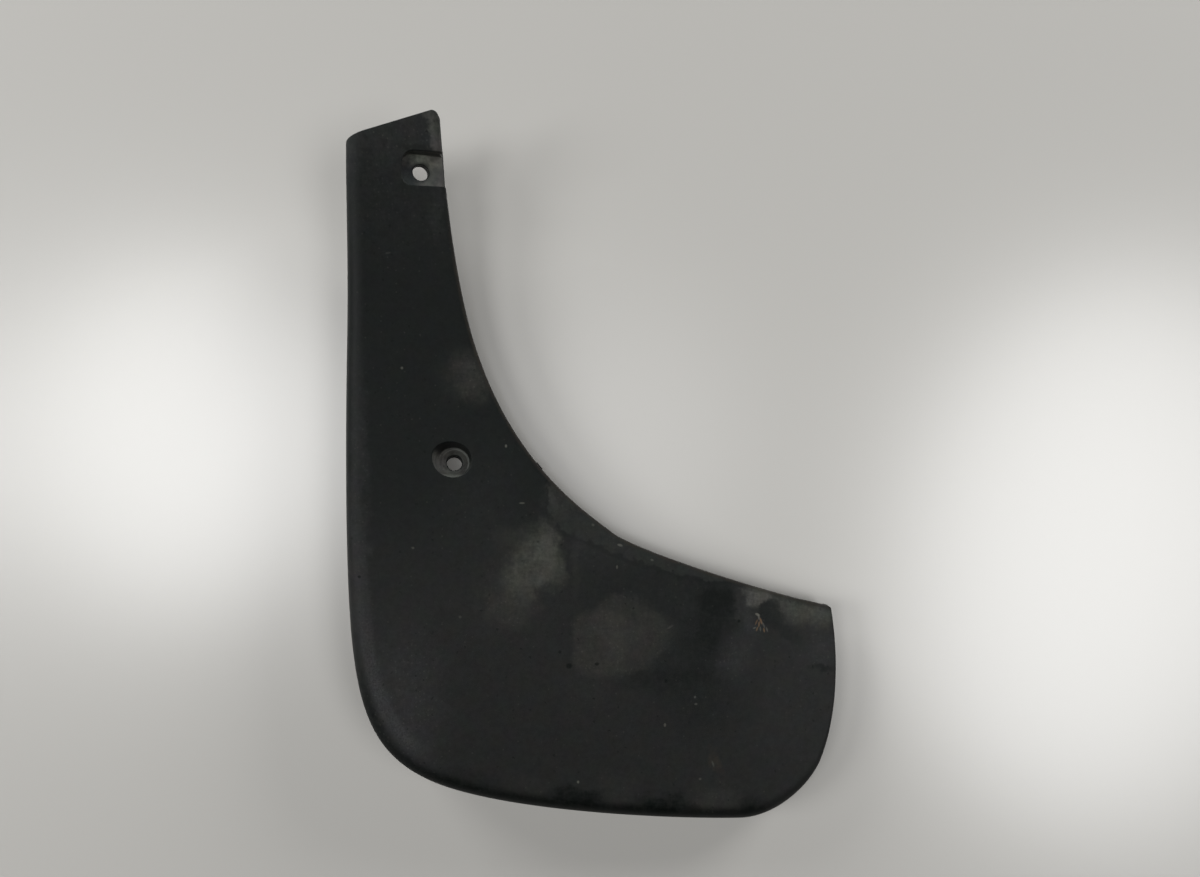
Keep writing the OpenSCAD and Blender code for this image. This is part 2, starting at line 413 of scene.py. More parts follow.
def pocket(name, seat, wall):
    """Cutter for a seat. wall(t) gives the outline from its floor, at 0, to the face, at 1."""
    origin, axes = seat_frame(seat)
    rings = []

    def lay(uv, w):
        rings.append(origin + uv @ axes[:2] + np.broadcast_to(w, len(uv))[:, None] * axes[2])

    base = wall(0)
    out = outline_normals(base)
    for q in QUARTER:
        lay(base - out * FLOOR_ROUND * (1 - math.sin(q)), -seat.depth + FLOOR_ROUND * (1 - math.cos(q)))
    lip = face_over(origin, axes, wall(1))
    for _ in range(LIP_PASSES):
        top = wall_at(wall, 1 + (lip - LIP_ROUND) / seat.depth)
        lip = face_over(origin, axes, top)
    out = outline_normals(top)
    for q in np.radians(LIP_ANGLES):
        uv = top + out * LIP_ROUND * (1 - math.cos(q))
        lay(uv, face_over(origin, axes, uv) - LIP_ROUND * (1 - math.sin(q)))
    mouth = top + out * LIP_ROUND
    lay(mouth, face_over(origin, axes, mouth) + POCKET_STEP)
    lay(mouth, POCKET_TOP)
    return new_loft(name, rings)


def wall_at(wall, t):
    """The wall's outline, each point at its own height."""
    low, high = wall(0), wall(1)
    return low + (high - low) * t[:, None]


def tip_wall(t):
    """The open seat's outline, which is the same at any height: one closed side and two round corners."""
    corner = TIP_SEAT_CORNER
    high, low = TIP_SEAT_SHIFT + TIP_SEAT_W / 2, TIP_SEAT_SHIFT - TIP_SEAT_W / 2
    outline = [[POCKET_RUN, high]]
    for y, start in ((high - corner, 90), (low + corner, 180)):
        for q in np.radians(np.linspace(start, start + 90, CORNER_STEPS + 1)):
            outline.append([corner - TIP_SEAT_BACK + corner * math.cos(q), y + corner * math.sin(q)])
    return np.array(outline + [[POCKET_RUN, low]])


def mid_wall(t):
    """The middle seat widens from a round floor to an oval mouth that is drawn to one side."""
    return circle(SEAT_STEPS) * mix(MID_SEAT_D, MOUTH_SIZE, t) / 2 + MOUTH_SHIFT * t


def screw_hole(name, seat):
    """Cutter for a screw hole with its lead-in."""
    origin, axes = seat_frame(seat)
    r = HOLE_D / 2
    lead_r = r + HOLE_CHAMFER
    stations = [(r, -SEAT_FLOOR - HOLE_BELOW), (r, -HOLE_CHAMFER), (lead_r, 0), (lead_r, HOLE_ABOVE)]
    rings = [origin + circle(HOLE_STEPS) * r @ axes[:2] + (w - seat.depth) * axes[2] for r, w in stations]
    return new_loft(name, rings)


def flat_cut(obj, point, normal):
    """Cuts away what lies on the normal's side of a plane, and closes the cut."""
    bm = bmesh.new()
    bm.from_mesh(obj.data)
    geom = bm.verts[:] + bm.edges[:] + bm.faces[:]
    place = Vector((np.asarray(point) + CENTRING) * MM)
    cut = bmesh.ops.bisect_plane(bm, geom=geom, plane_co=place, plane_no=Vector(normal), clear_outer=True)
    edges = [e for e in cut["geom_cut"] if isinstance(e, bmesh.types.BMEdge)]
    bmesh.ops.contextual_create(bm, geom=edges)
    bm.to_mesh(obj.data)
    bm.free()


def seat_boss(name, seat, outline):
    """Boss behind a seat, which ends inside the wall."""
    origin, axes = seat_frame(seat)
    out = outline_normals(outline)
    low = -seat.depth - SEAT_FLOOR
    rings = []
    for q in QUARTER:
        drawn_in = outline - out * FOOT_ROUND * (1 - math.sin(q))
        rings.append(origin + drawn_in @ axes[:2] + (low + FOOT_ROUND * (1 - math.cos(q))) * axes[2])
    rings.append(origin + outline @ axes[:2] + BOSS_TOP * axes[2])
    obj = new_loft(name, rings)
    gx, gy = face_slopes(seat.x, seat.y)
    flat_cut(obj, origin - [0, 0, SEAT_SINK], (-gx, -gy, 1))
    return obj


def tip_boss():
    """Boss of the open seat, which stops just short of the hollow edge."""
    obj = seat_boss("tip_boss", TIP_SEAT, u_outline(TIP_BOSS_R, BOSS_RUN))
    edge = on_line(HOLLOW_LINE, TIP_SEAT_EDGE)[0]
    way = line_way(HOLLOW_LINE, TIP_SEAT_EDGE)[0]
    out = np.array([-way[1], way[0], 0])
    flat_cut(obj, np.array([edge[0], edge[1], 0]) - out * OPEN_SEAT_BACK, out)
    return obj


def mid_boss():
    """Round boss of the middle seat."""
    return seat_boss("mid_boss", MID_SEAT, circle(SEAT_STEPS) * (MID_SEAT_D / 2 + SEAT_WALL))


def gate_mark():
    """Small stub on the hollow edge where the mould was filled."""
    depth, width, height = GATE_SIZE
    p = on_line(HOLLOW_LINE, GATE_AT)[0]
    way = line_way(HOLLOW_LINE, GATE_AT)[0]
    out = np.array([-way[1], way[0]])
    z = face_z(*p) - GATE_DROP
    corners = [(GATE_PROUD - depth, -1), (GATE_PROUD, -1), (GATE_PROUD, 1), (GATE_PROUD - depth, 1)]
    plan = [p + out * d + way * w * width / 2 for d, w in corners]
    rings = [[[x, y, h] for x, y in plan] for h in (z - height, z)]
    return new_loft("gate_mark", rings)


def corner_cut(name, at, way_1, way_2, r):
    """Cutter that rounds a sharp corner in plan, between two directions that leave the corner."""
    half_angle = math.acos(way_1 @ way_2) / 2
    middle = unit(way_1 + way_2)
    centre = at + middle * r / math.sin(half_angle)
    foot_1 = at + way_1 * r / math.tan(half_angle)
    foot_2 = at + way_2 * r / math.tan(half_angle)
    arms = [unit(foot - centre) for foot in (foot_1, foot_2)]
    turn = math.atan2(arms[0][0] * arms[1][1] - arms[0][1] * arms[1][0], arms[0] @ arms[1])
    start = math.atan2(arms[0][1], arms[0][0])
    angles = start + np.linspace(0, turn, CORNER_STEPS + 1)
    arc = centre + np.column_stack([np.cos(angles), np.sin(angles)]) * r
    past = middle * CORNER_OUT
    outside = [foot_2 - past + way_2, at - 2 * past, foot_1 - past + way_1]
    plan = np.concatenate([arc, outside])
    rings = [np.column_stack([plan, np.full(len(plan), z)]) for z in CORNER_HEIGHTS]
    return new_loft(name, rings)


def corner_cuts():
    """Cutters for both corners of the tip and for the free end's upper corner."""
    curves = len(RIM_LINE)
    tip_a, tip_b = on_line(RIM_LINE, 0)[0], on_line(HOLLOW_LINE, 0)[0]
    tip_way = unit(tip_b - tip_a)
    end = on_line(RIM_LINE, curves)[0]
    end_ways = -line_way(RIM_LINE, curves)[0], -line_way(HOLLOW_LINE, len(HOLLOW_LINE))[0]
    return [
        corner_cut("tip_outer_cut", tip_a, tip_way, line_way(RIM_LINE, 0)[0], TIP_OUTER_R),
        corner_cut("tip_inner_cut", tip_b, -tip_way, line_way(HOLLOW_LINE, 0)[0], TIP_INNER_R),
        corner_cut("end_cut", end, *end_ways, END_CORNER_R),
    ]


def face_outward(obj):
    """Turns all faces of a closed mesh to its outside."""
    bm = bmesh.new()
    bm.from_mesh(obj.data)
    bmesh.ops.recalc_face_normals(bm, faces=bm.faces[:])
    bm.to_mesh(obj.data)
    bm.free()


def carve(obj, others, operation):
    """Joins the others to the object, or cuts them out of it, and removes them."""
    for other in others:
        face_outward(other)
        step = obj.modifiers.new(other.name, "BOOLEAN")
        step.operation = operation
        step.solver = "MANIFOLD"
        step.object = other
    bpy.context.view_layer.update()
    result = bpy.data.meshes.new_from_object(obj.evaluated_get(bpy.context.evaluated_depsgraph_get()))
    obj.modifiers.clear()
    old = obj.data
    obj.data = result
    bpy.data.meshes.remove(old)
    for other in others:
        bpy.data.objects.remove(other)


def make_mudguard():
    """The whole moulding as one closed mesh."""
    shell = make_shell()
    face_outward(shell)
    carve(shell, [tip_boss(), mid_boss(), gate_mark()], "UNION")
    pockets = [pocket("tip_pocket", TIP_SEAT, tip_wall), pocket("mid_pocket", MID_SEAT, mid_wall)]
    holes = [screw_hole("tip_hole", TIP_SEAT), screw_hole("mid_hole", MID_SEAT)]
    carve(shell, pockets + holes + corner_cuts(), "DIFFERENCE")
    shell.data.shade_smooth()
    shell.data.set_sharp_from_angle(angle=math.radians(CRISP_FROM))
    return shell


# The table: half its width in metres, and its surface
TABLE_HALF = 3.0
TABLE_SURFACE = {"Base Color": (0.50, 0.49, 0.465, 1), "Roughness": 0.25, "IOR": 1.925}

# The camera: its place in metres, its sensor in millimetres, and its focal length and picture width in pixels
CAMERA_AT = (0.00272, 0.01691, 0.420)
SENSOR_W = 36
FOCAL_PX = 930
PICTURE_PX = 1200


def make_camera():
    """Straight above the table, at the height that fits the photograph's perspective."""
    data = bpy.data.cameras.new("camera")
    data.sensor_width = SENSOR_W
    data.lens = SENSOR_W * FOCAL_PX / PICTURE_PX
    camera = new_object("camera", data)
    camera.location = CAMERA_AT
    bpy.context.scene.camera = camera


def make_floor():
    """Pale table with a soft gloss, which mirrors the lights on both sides."""
    mesh = bpy.data.meshes.new("table_top")
    corners = [(-1, -1), (1, -1), (1, 1), (-1, 1)]
    mesh.from_pydata([(x * TABLE_HALF, y * TABLE_HALF, 0) for x, y in corners], [], [(0, 1, 2, 3)])
    floor = new_object("table_top", mesh)
    material = bpy.data.materials.new("table_top")
    material.use_nodes = True
    for name, value in TABLE_SURFACE.items():
        material.node_tree.nodes["Principled BSDF"].inputs[name].default_value = value
    mesh.materials.append(material)


class SoftLight(NamedTuple):
    """An oval light that faces the part: degrees from overhead, bearing from +X, widths in degrees, watts."""

    lean: float
    bearing: float
    width: float
    depth: float
    power: float


# Two windows that the table mirrors, soft light from above, and low light from beyond the arm's tip. All of
# them hang at one distance, in metres
LIGHT_DISTANCE = 2.5
LIGHTS = {
    "left_window": SoftLight(27, 179.2, 22.5, 20, 12.3),
    "right_window": SoftLight(33, 348.5, 34, 22, 18.5),
    "far_left": SoftLight(55, 180, 22, 22, 22),
    "overhead": SoftLight(0, 0, 20, 20, 3.2),
    "low_back_right": SoftLight(75, 45, 24, 24, 49),
    "low_back_left": SoftLight(75, 135, 24, 24, 40),
}


def make_light(name, light):
    """Hangs one soft light in its place."""
    data = bpy.data.lights.new(name, "AREA")
    data.shape = "ELLIPSE"
    widths = (light.width, light.depth)
    data.size, data.size_y = (2 * LIGHT_DISTANCE * math.tan(math.radians(w / 2)) for w in widths)
    data.energy = light.power
    lean, bearing = math.radians(light.lean), math.radians(light.bearing)
    way = Vector((math.sin(lean) * math.cos(bearing), math.sin(lean) * math.sin(bearing), math.cos(lean)))
    lamp = new_object(name, data)
    lamp.location = way * LIGHT_DISTANCE
    lamp.rotation_euler = (-way).to_track_quat("-Z", "Y").to_euler()


def make_room():
    """A room that gives no light of its own, shown in plain colours."""
    world = bpy.data.worlds.new("room")
    world.use_nodes = True
    world.node_tree.nodes["Background"].inputs["Strength"].default_value = 0.0
    bpy.context.scene.world = world
    bpy.context.scene.view_settings.view_transform = "Standard"


# How finely a line is laid out to find the nearest place on it, and how many points are looked up at once
HOLLOW_STEPS = 60
RIM_STEPS = 40
POINTS_AT_ONCE = 4000


def nearest_on_line(points, line, steps):
    """Distance from each point to a line of joined curves in plan, and the place on it."""
    places = np.linspace(0, len(line), steps * len(line) + 1)
    path = on_line(line, places)
    start, run = path[:-1], path[1:] - path[:-1]
    gaps, found = [], []
    for chunk in np.array_split(points, 1 + len(points) // POINTS_AT_ONCE):
        away = chunk[:, None] - start
        t = np.clip((away * run).sum(2) / (run * run).sum(1), 0, 1)
        d = np.linalg.norm(away - run * t[..., None], axis=2)
        k = d.argmin(1)
        rows = np.arange(len(chunk))
        gaps.append(d[rows, k])
        found.append(mix(places[k], places[k + 1], t[rows, k]))
    return np.concatenate(gaps), np.concatenate(found)


def keep(mesh, name, values):
    """Keeps a number on each of the mesh's points."""
    mesh.attributes.new(name, "FLOAT", "POINT").data.foreach_set("value", values.astype(np.float32))


# Lighter strip along the hollow edge: how far it reaches in, at places along the edge
STRIP_WAYS = (1.5, 1.54, 1.57, 1.6, 1.65, 1.7, 1.76, 1.97, 2.13, 2.27, 2.42, 2.5, 2.58)
STRIP_REACH = (0, 4, 8, 10.4, 12.3, 12.3, 10.7, 7.8, 6.5, 5.7, 4.7, 3.7, 0)

# Scuffed band round the lower corner, partly a painted highlight on the turn there: how far in its middle
# lies, at places along the rim, then half its width, where it starts and ends along the rim, and how softly
# it fades along and across
SCUFF_HIGHLIGHT_WAYS = (0.9, 1.3, 1.7, 2.0)
SCUFF_HIGHLIGHT_REACH = (7.5, 8.5, 11.5, 12.5)
SCUFF_HIGHLIGHT_HALF = 4.0
SCUFF_HIGHLIGHT_SPAN = (0.95, 2.0)
SCUFF_HIGHLIGHT_FADES = (0.5, 0.25)
SCUFF_HIGHLIGHT_SOFT = 2.5

# Painted shade along the rim round the lower side: how far in it reaches, then its ends and fades in the same
# way
RIM_SHADE_REACH = 10.0
RIM_SHADE_SPAN = (1.1, 3.5)
RIM_SHADE_FADES = (0.5, 0.4)
RIM_SHADE_SOFT = 7.0


def on_span(way, span, fades):
    """1 along a span of the rim line and 0 past its ends, which fade over these two lengths."""
    return smooth((way - span[0]) / fades[0]) * smooth((span[1] - way) / fades[1])


def mark_places(obj):
    """Keeps on each point, in millimetres, how far it is from the hollow edge and inside the strip beside it,
    and how far it belongs to the scuffed band, which is partly a painted highlight, and to the painted shade
    along the lower rim."""
    mesh = obj.data
    points = np.empty(len(mesh.vertices) * 3)
    mesh.vertices.foreach_get("co", points)
    plan = (points.reshape(-1, 3) / MM - CENTRING)[:, :2]
    gap, way = nearest_on_line(plan, HOLLOW_LINE, HOLLOW_STEPS)
    keep(mesh, "edge_gap", gap)
    keep(mesh, "strip", np.interp(way, STRIP_WAYS, STRIP_REACH) - gap)
    gap, way = nearest_on_line(plan, RIM_LINE, RIM_STEPS)
    off_middle = np.abs(gap - np.interp(way, SCUFF_HIGHLIGHT_WAYS, SCUFF_HIGHLIGHT_REACH))
    in_band = smooth((SCUFF_HIGHLIGHT_HALF - off_middle) / SCUFF_HIGHLIGHT_SOFT)
    keep(mesh, "scuff_highlight", on_span(way, SCUFF_HIGHLIGHT_SPAN, SCUFF_HIGHLIGHT_FADES) * in_band)
    by_rim = smooth((RIM_SHADE_REACH - gap) / RIM_SHADE_SOFT)
    keep(mesh, "shaded_rim", on_span(way, RIM_SHADE_SPAN, RIM_SHADE_FADES) * by_rim)


# What raises the contrast of a noise to the full range, and the share of a dot's radius that is fully covered
NOISE_RANGE = (0.3, 0.7)
DOT_CORE = 0.3


class Graph:
    """Adds nodes to a node tree. Each input is a value or another node's output."""

    def __init__(self, tree):
        self.tree = tree

    def node(self, kind, inputs, output=0, **settings):
        """Adds one node with these inputs and settings, and gives one of its outputs."""
        node = self.tree.nodes.new(kind)
        for name, value in settings.items():
            setattr(node, name, value)
        for key, value in inputs.items():
            self.feed(node.inputs[key], value)
        return node.outputs[output]

    def feed(self, socket, value):
        """Links another node's output to a socket, or gives it a value."""
        if isinstance(value, bpy.types.NodeSocket):
            self.tree.links.new(value, socket)
        else:
            socket.default_value = value

    def value(self, name):
        """A number that is kept on the mesh's points."""
        return self.node("ShaderNodeAttribute", {}, output=2, attribute_name=name)

    def math(self, operation, *values):
        return self.node("ShaderNodeMath", dict(enumerate(values)), operation=operation)

    def plus(self, a, b):
        return self.math("ADD", a, b)

    def times(self, *values):
        result = values[0]
        for value in values[1:]:
            result = self.math("MULTIPLY", result, value)
        return result

    def vector(self, operation, *values, output=0):
        return self.node("ShaderNodeVectorMath", dict(enumerate(values)), output, operation=operation)

    def length(self, place):
        return self.vector("LENGTH", place, output=1)

    def dot(self, place, way):
        return self.vector("DOT_PRODUCT", place, tuple(float(c) for c in way), output=1)

    def step(self, value, low, high):
        """0 below low and 1 above high, with a smooth change between, or the other way round."""
        inputs = {"Value": value, "From Min": low, "From Max": high}
        return self.node("ShaderNodeMapRange", inputs, interpolation_type="SMOOTHSTEP")

    def mix(self, factor, a, b):
        """Mixes two colours, which have sockets 6 and 7 of the node."""
        return self.node("ShaderNodeMix", {0: factor, 6: a, 7: b}, output=2, data_type="RGBA")

    def cover(self, colour, tone, *masks):
        """Lays a tone on a colour, as far as the masks and strengths say together."""
        return self.mix(self.times(*masks), colour, tone)

    def blend(self, factor, a, b):
        """Mixes two numbers, which have sockets 2 and 3 of the node."""
        return self.node("ShaderNodeMix", {0: factor, 2: a, 3: b}, data_type="FLOAT")

    def at_least(self, least, mask):
        """A mask that is lifted so that it never falls under this share."""
        return self.blend(mask, least, 1.0)

    def noise(self, place, size, detail=2.0, rough=0.5, output=0, flat=True):
        """Noise with lumps of about this size in millimetres, over the plan or through the solid."""
        inputs = {"Vector": place, "Scale": 1 / size, "Detail": detail, "Roughness": rough}
        return self.node("ShaderNodeTexNoise", inputs, output=output, noise_dimensions="2D" if flat else "3D")

    def lumps(self, place, **settings):
        """Noise that runs all the way from 0 to 1."""
        return self.step(self.noise(place, **settings), *NOISE_RANGE)

    def stray(self, place, plan, size, reach):
        """Moves a place about, so that what is laid there gets a ragged outline."""
        sway = self.vector("SUBTRACT", self.noise(plan, size, output=1), (0.5, 0.5, 0.5))
        return self.vector("ADD", place, self.vector("MULTIPLY", sway, (reach, reach, 0)))

    def scatter(self, place, cell, radius, share, fading):
        """Small dots, at most one in a cell, in this share of the cells. Fading leaves more of them faint."""
        cells = self.tree.nodes.new("ShaderNodeTexVoronoi")
        cells.voronoi_dimensions = "2D"
        self.feed(cells.inputs["Vector"], place)
        self.feed(cells.inputs["Scale"], 1 / cell)
        chance = self.node("ShaderNodeSeparateXYZ", {"Vector": cells.outputs["Color"]})
        dot = self.step(cells.outputs["Distance"], radius / cell, DOT_CORE * radius / cell)
        return self.times(dot, self.math("POWER", self.step(chance, share, 0.0), fading))


class Stain(NamedTuple):
    """A patch on the face, an oval or a box with round corners: middle and half sizes in millimetres,
    colour and how strongly it covers, turn in degrees, and the share of its size over which it fades."""

    middle: tuple
    half: tuple
    tone: tuple
    strength: float = 1.0
    turn: float = 0.0
    soft: float = 0.4
    boxy: bool = False


# Colours of the plastic, of what lies on it, and of the highlights, sheen and shade painted on it
BLACK = (0.0068, 0.0082, 0.0077, 1)
LOW_BLACK = (0.0130, 0.0136, 0.0130, 1)
FILM = (0.0250, 0.0268, 0.0258, 1)
# Bluish grey for haze, and for painted sheen and highlights
HAZE_AND_SHEEN = (0.0238, 0.0241, 0.0244, 1)
GREY_DUST = (0.0410, 0.0425, 0.0345, 1)
BROWN_DUST = (0.0262, 0.0257, 0.0228, 1)
PALE_DUST = (0.066, 0.066, 0.060, 1)
STRIP_DUST = (0.0185, 0.0200, 0.0180, 1)
# Grey of the scuffed band, which is partly a painted highlight on the turn
SCUFF_HIGHLIGHT_GREY = (0.0335, 0.0343, 0.0350, 1)
EDGE_BROWN = (0.0190, 0.0165, 0.0130, 1)
# Near black for cleaned spots and pits, and for painted shade
CLEAN_AND_SHADE_BLACK = (0.0018, 0.0030, 0.0025, 1)
CHALK = (0.14, 0.14, 0.12, 1)
RUST = (0.17, 0.105, 0.055, 1)
SEAT_DUSK = (0.020, 0.0225, 0.0235, 1)
SEAT_DUST = (0.050, 0.050, 0.046, 1)
SEAT_WALL_DUST = (0.041, 0.042, 0.038, 1)
# Colour of the painted highlights in the middle seat
SEAT_HIGHLIGHT = (0.112, 0.115, 0.108, 1)

STAINS = [Stain(*row) for row in (
    # Haze, the darker rubbed parts, and a painted highlight in two narrow strips down the left rim's turn
    ((89.5, -98.7), (19.6, 28.1), HAZE_AND_SHEEN, 0.22, 0, 0.8),
    ((-82.1, -96.3), (16.1, 28.1), HAZE_AND_SHEEN, 0.75, 0, 0.8),
    ((33.6, -55), (40.8, 26.3), BLACK, 0.8, 0, 0.5),
    ((46.5, -91.1), (18.7, 18.7), BLACK, 0.8, 0, 0.8),
    ((33.6, -86.1), (21.2, 3.8), CLEAN_AND_SHADE_BLACK, 0.45, 0, 0.8),
    ((52.7, -63.9), (10.2, 17.8), CLEAN_AND_SHADE_BLACK, 0.8, 0, 0.7),
    ((53.2, -52), (8.5, 6), CLEAN_AND_SHADE_BLACK, 1, 0, 0.5),
    ((2.7, -26.5), (18.7, 9.3), HAZE_AND_SHEEN, 0.3, -20, 0.8),
    ((-48.2, -9.2), (14.4, 19.6), HAZE_AND_SHEEN, 0.16, 0, 0.8),
    # Painted highlight down the left rim's turn, in two strips
    ((-98.8, -9.7), (4.2, 53.1), HAZE_AND_SHEEN, 0.46, 0, 0.6),
    ((-97.9, -46.6), (3.8, 25.5), HAZE_AND_SHEEN, 0.4, 4, 0.6),
    # Grey-green patch left of the middle
    ((-32.1, -25.8), (8.1, 5.1), GREY_DUST, 0.22, 0, 0.5),
    ((-38.8, -45.1), (8.5, 16.1), BROWN_DUST, 0.32, -15, 0.8),
    ((-33.7, -52.4), (8.9, 10.6), BROWN_DUST, 0.7, -25, 0.6),
    ((-21.1, -25), (5.1, 6.8), GREY_DUST, 0.5, -20, 0.5),
    ((-17.3, -37.4), (5.1, 10.6), GREY_DUST, 0.55, 8, 0.4),
    ((-26.6, -37.3), (8.9, 14.4), GREY_DUST, 0.66, -24, 0.4),
    ((-29.5, -38.5), (5.1, 6.8), PALE_DUST, 0.16, -20, 0.8),
    ((-20.3, -31.4), (3.4, 8.5), PALE_DUST, 0.32, -12, 0.8),
    ((-22.8, -44.5), (4.2, 2.5), PALE_DUST, 0.3, 20, 0.8),
    ((-7.1, -34.9), (2.1, 16.1), GREY_DUST, 0.12, 0, 0.6),
    # Brown-grey patch in the middle, with a straight left side
    ((-1.5, -90.1), (9.3, 6.4), BROWN_DUST, 0.16, 0, 0.8),
    ((2.7, -70.6), (11.5, 13.6), BROWN_DUST, 0.66, 0, 0.16, True),
    ((11.3, -61), (13.2, 11), BROWN_DUST, 0.55, 0, 0.22),
    ((22.4, -67.6), (10.2, 9.8), BROWN_DUST, 0.42, -30, 0.3),
    ((13.8, -75.5), (14, 8.9), BROWN_DUST, 0.52, 20, 0.3),
    ((9.5, -64.8), (3.8, 10.2), GREY_DUST, 0.15, 0, 0.8),
    ((30.2, -63.5), (5.1, 4.2), GREY_DUST, 0.2, 0, 0.6),
    # Pale patches by the free end
    ((61, -76.5), (7.2, 11), HAZE_AND_SHEEN, 0.7, -15, 0.7),
    ((64.2, -56.4), (3.8, 11), HAZE_AND_SHEEN, 0.6, 6, 0.5),
    ((68.5, -60.8), (5.5, 7.6), HAZE_AND_SHEEN, 0.45, 0, 0.6),
    ((71.3, -51), (5.1, 3.8), PALE_DUST, 0.82, 30, 0.5),
    ((92.5, -59.6), (11.5, 5.5), GREY_DUST, 0.75, -14, 0.5),
    ((97.9, -58.8), (5.1, 4.2), PALE_DUST, 0.35, 0, 0.7),
    ((87.6, -56), (5.1, 3), PALE_DUST, 0.25, -14, 0.7),
    ((99.4, -74.4), (8.5, 7.6), HAZE_AND_SHEEN, 0.75, 0, 0.8),
    ((77.5, -51.5), (8.5, 2.5), PALE_DUST, 0.35, -15, 0.6),
    ((76.9, -59.7), (5.1, 6), BLACK, 0.85, -20, 0.3),
    ((84.8, -67.2), (7.2, 2.5), BLACK, 0.7, -50, 0.6),
    ((98.9, -83), (6.4, 1.3), BLACK, 0.8, -12, 0.6),
    # On the arm, beside the hollow edge and at the tip
    ((-54.4, 42.7), (10.2, 9.3), BROWN_DUST, 0.35, 0, 0.8),
    ((-51.5, 44), (7.2, 8.1), BROWN_DUST, 0.74, 25, 0.8),
    ((-50.9, 29.5), (11, 3), CLEAN_AND_SHADE_BLACK, 0.12, -14, 0.6),
    ((-79.6, 145.6), (55.2, 40.4), FILM, 0.5, 0, 0.8),
    ((-79.3, 148.4), (55.2, 17), FILM, 0.95, 0, 0.6),
    ((-64.3, 143.1), (2.1, 3.4), PALE_DUST, 0.5, 0, 0.6),
    ((-63.8, 139.6), (2.3, 8.1), PALE_DUST, 0.9, 14, 0.6),
    ((-62.1, 134.9), (1.9, 5.1), PALE_DUST, 0.95, 0, 0.6),
    ((-71.6, 134.8), (6, 1.7), LOW_BLACK, 0.8, 0, 0.6),
    ((-65.3, 114.4), (2.5, 11), FILM, 0.4, -4, 0.7),
    # Start of the strip, and along the lower rim
    ((-14.8, -9.4), (6, 7.2), BROWN_DUST, 0.5, -25, 0.6),
    ((-17.4, -9.4), (1.5, 6), PALE_DUST, 0.3, 8, 0.7),
    ((51.3, -139.4), (11, 6.4), BROWN_DUST, 0.5, 0, 0.6),
    ((-27.8, -131.2), (11, 5.5), BROWN_DUST, 0.12, -10, 0.6),
    ((10.4, -132.6), (8.5, 6.8), BROWN_DUST, 0.2, 0, 0.6),
    ((-53, -126.9), (16.1, 3.4), CLEAN_AND_SHADE_BLACK, 0.28, -14, 0.6),
    ((-7.5, -135.6), (11, 4.2), CLEAN_AND_SHADE_BLACK, 0.85, -10, 0.5),
    ((29.3, -140.1), (12.8, 3.8), CLEAN_AND_SHADE_BLACK, 0.85, -4, 0.5),
    ((68.3, -140.8), (5.5, 3.4), CLEAN_AND_SHADE_BLACK, 0.6, 15, 0.7),
    ((51.3, -121.7), (1.7, 5.1), RUST, 0.05, 15, 0.8),
)]

# Pits, chalky specks and rust flecks
FLECKS = [Stain(*row) for row in (
    ((-10.4, -79.7), (1.27, 1.1), CLEAN_AND_SHADE_BLACK, 0.8),
    ((1.4, -79.1), (0.94, 0.68), CLEAN_AND_SHADE_BLACK, 0.75),
    ((31, -86.9), (0.64, 0.85), CLEAN_AND_SHADE_BLACK, 0.9),
    ((-14.3, -73.7), (0.64, 0.64), CLEAN_AND_SHADE_BLACK, 0.7),
    ((58.9, -58.1), (0.64, 0.64), CLEAN_AND_SHADE_BLACK, 0.8),
    ((62.8, -62), (0.64, 0.68), CLEAN_AND_SHADE_BLACK, 0.9),
    ((-98.3, -41.1), (0.77, 0.55), CLEAN_AND_SHADE_BLACK, 0.8),
    ((-92.9, -99.5), (0.77, 0.68), CLEAN_AND_SHADE_BLACK, 0.7),
    ((-61.7, 147.1), (0.59, 0.77), CLEAN_AND_SHADE_BLACK, 0.7),
    ((71, -59.4), (1.02, 0.51), CHALK, 0.55, -25),
    ((71.6, -60.7), (0.42, 1.02), CHALK, 0.4, 10),
    ((72.5, -62.2), (0.38, 1.36), RUST, 0.5, 15),
    ((71.6, -63.5), (0.34, 1.27), RUST, 0.42, -5),
    ((70.5, -62.6), (0.34, 1.27), RUST, 0.3, -25),
    ((73.6, -63.9), (0.34, 1.44), CHALK, 0.26, 25),
    ((69.6, -65.1), (0.72, 0.34), CHALK, 0.28, 20),
    ((70.7, -65.6), (0.34, 0.94), RUST, 0.38, -20),
    ((72.2, -65.6), (0.34, 1.02), CHALK, 0.26),
    ((73.8, -66.1), (0.34, 0.94), RUST, 0.42, 10),
    ((75.1, -65.9), (0.34, 1.02), CHALK, 0.24, 15),
    ((32.8, -64), (1.44, 0.42), CHALK, 0.1, 28),
    ((-30.5, -10.6), (1.1, 0.38), CHALK, 0.28),
    ((30.5, -105.7), (0.51, 0.77), CHALK, 0.28),
    ((11.3, -28.8), (1.1, 0.51), CHALK, 0.38, -15),
    ((10, -38.1), (0.38, 0.77), CHALK, 0.25),
    ((-6.6, -129.2), (0.51, 0.59), CHALK, 0.4),
    ((51.3, -123), (0.42, 1.27), CHALK, 0.16, 20),
    ((45.7, -129.3), (0.59, 0.51), CHALK, 0.16),
    ((-81, 46.7), (0.55, 0.55), CHALK, 0.32),
    ((-76, -29.2), (0.55, 0.47), CHALK, 0.2),
    ((-56.3, -58.4), (0.59, 0.55), CHALK, 0.12),
    ((25.1, -35.3), (0.68, 0.42), CHALK, 0.22, -20),
    ((-0.3, -20.1), (0.68, 0.51), CHALK, 0.16, -30),
    ((43.5, -94.1), (0.47, 0.51), CHALK, 0.24),
    ((43.9, -97.1), (0.64, 0.42), CHALK, 0.24),
    ((-37.4, 13.7), (0.47, 0.64), CHALK, 0.4),
    ((-86, 94.6), (1.1, 0.38), CHALK, 0.1, 10),
)]


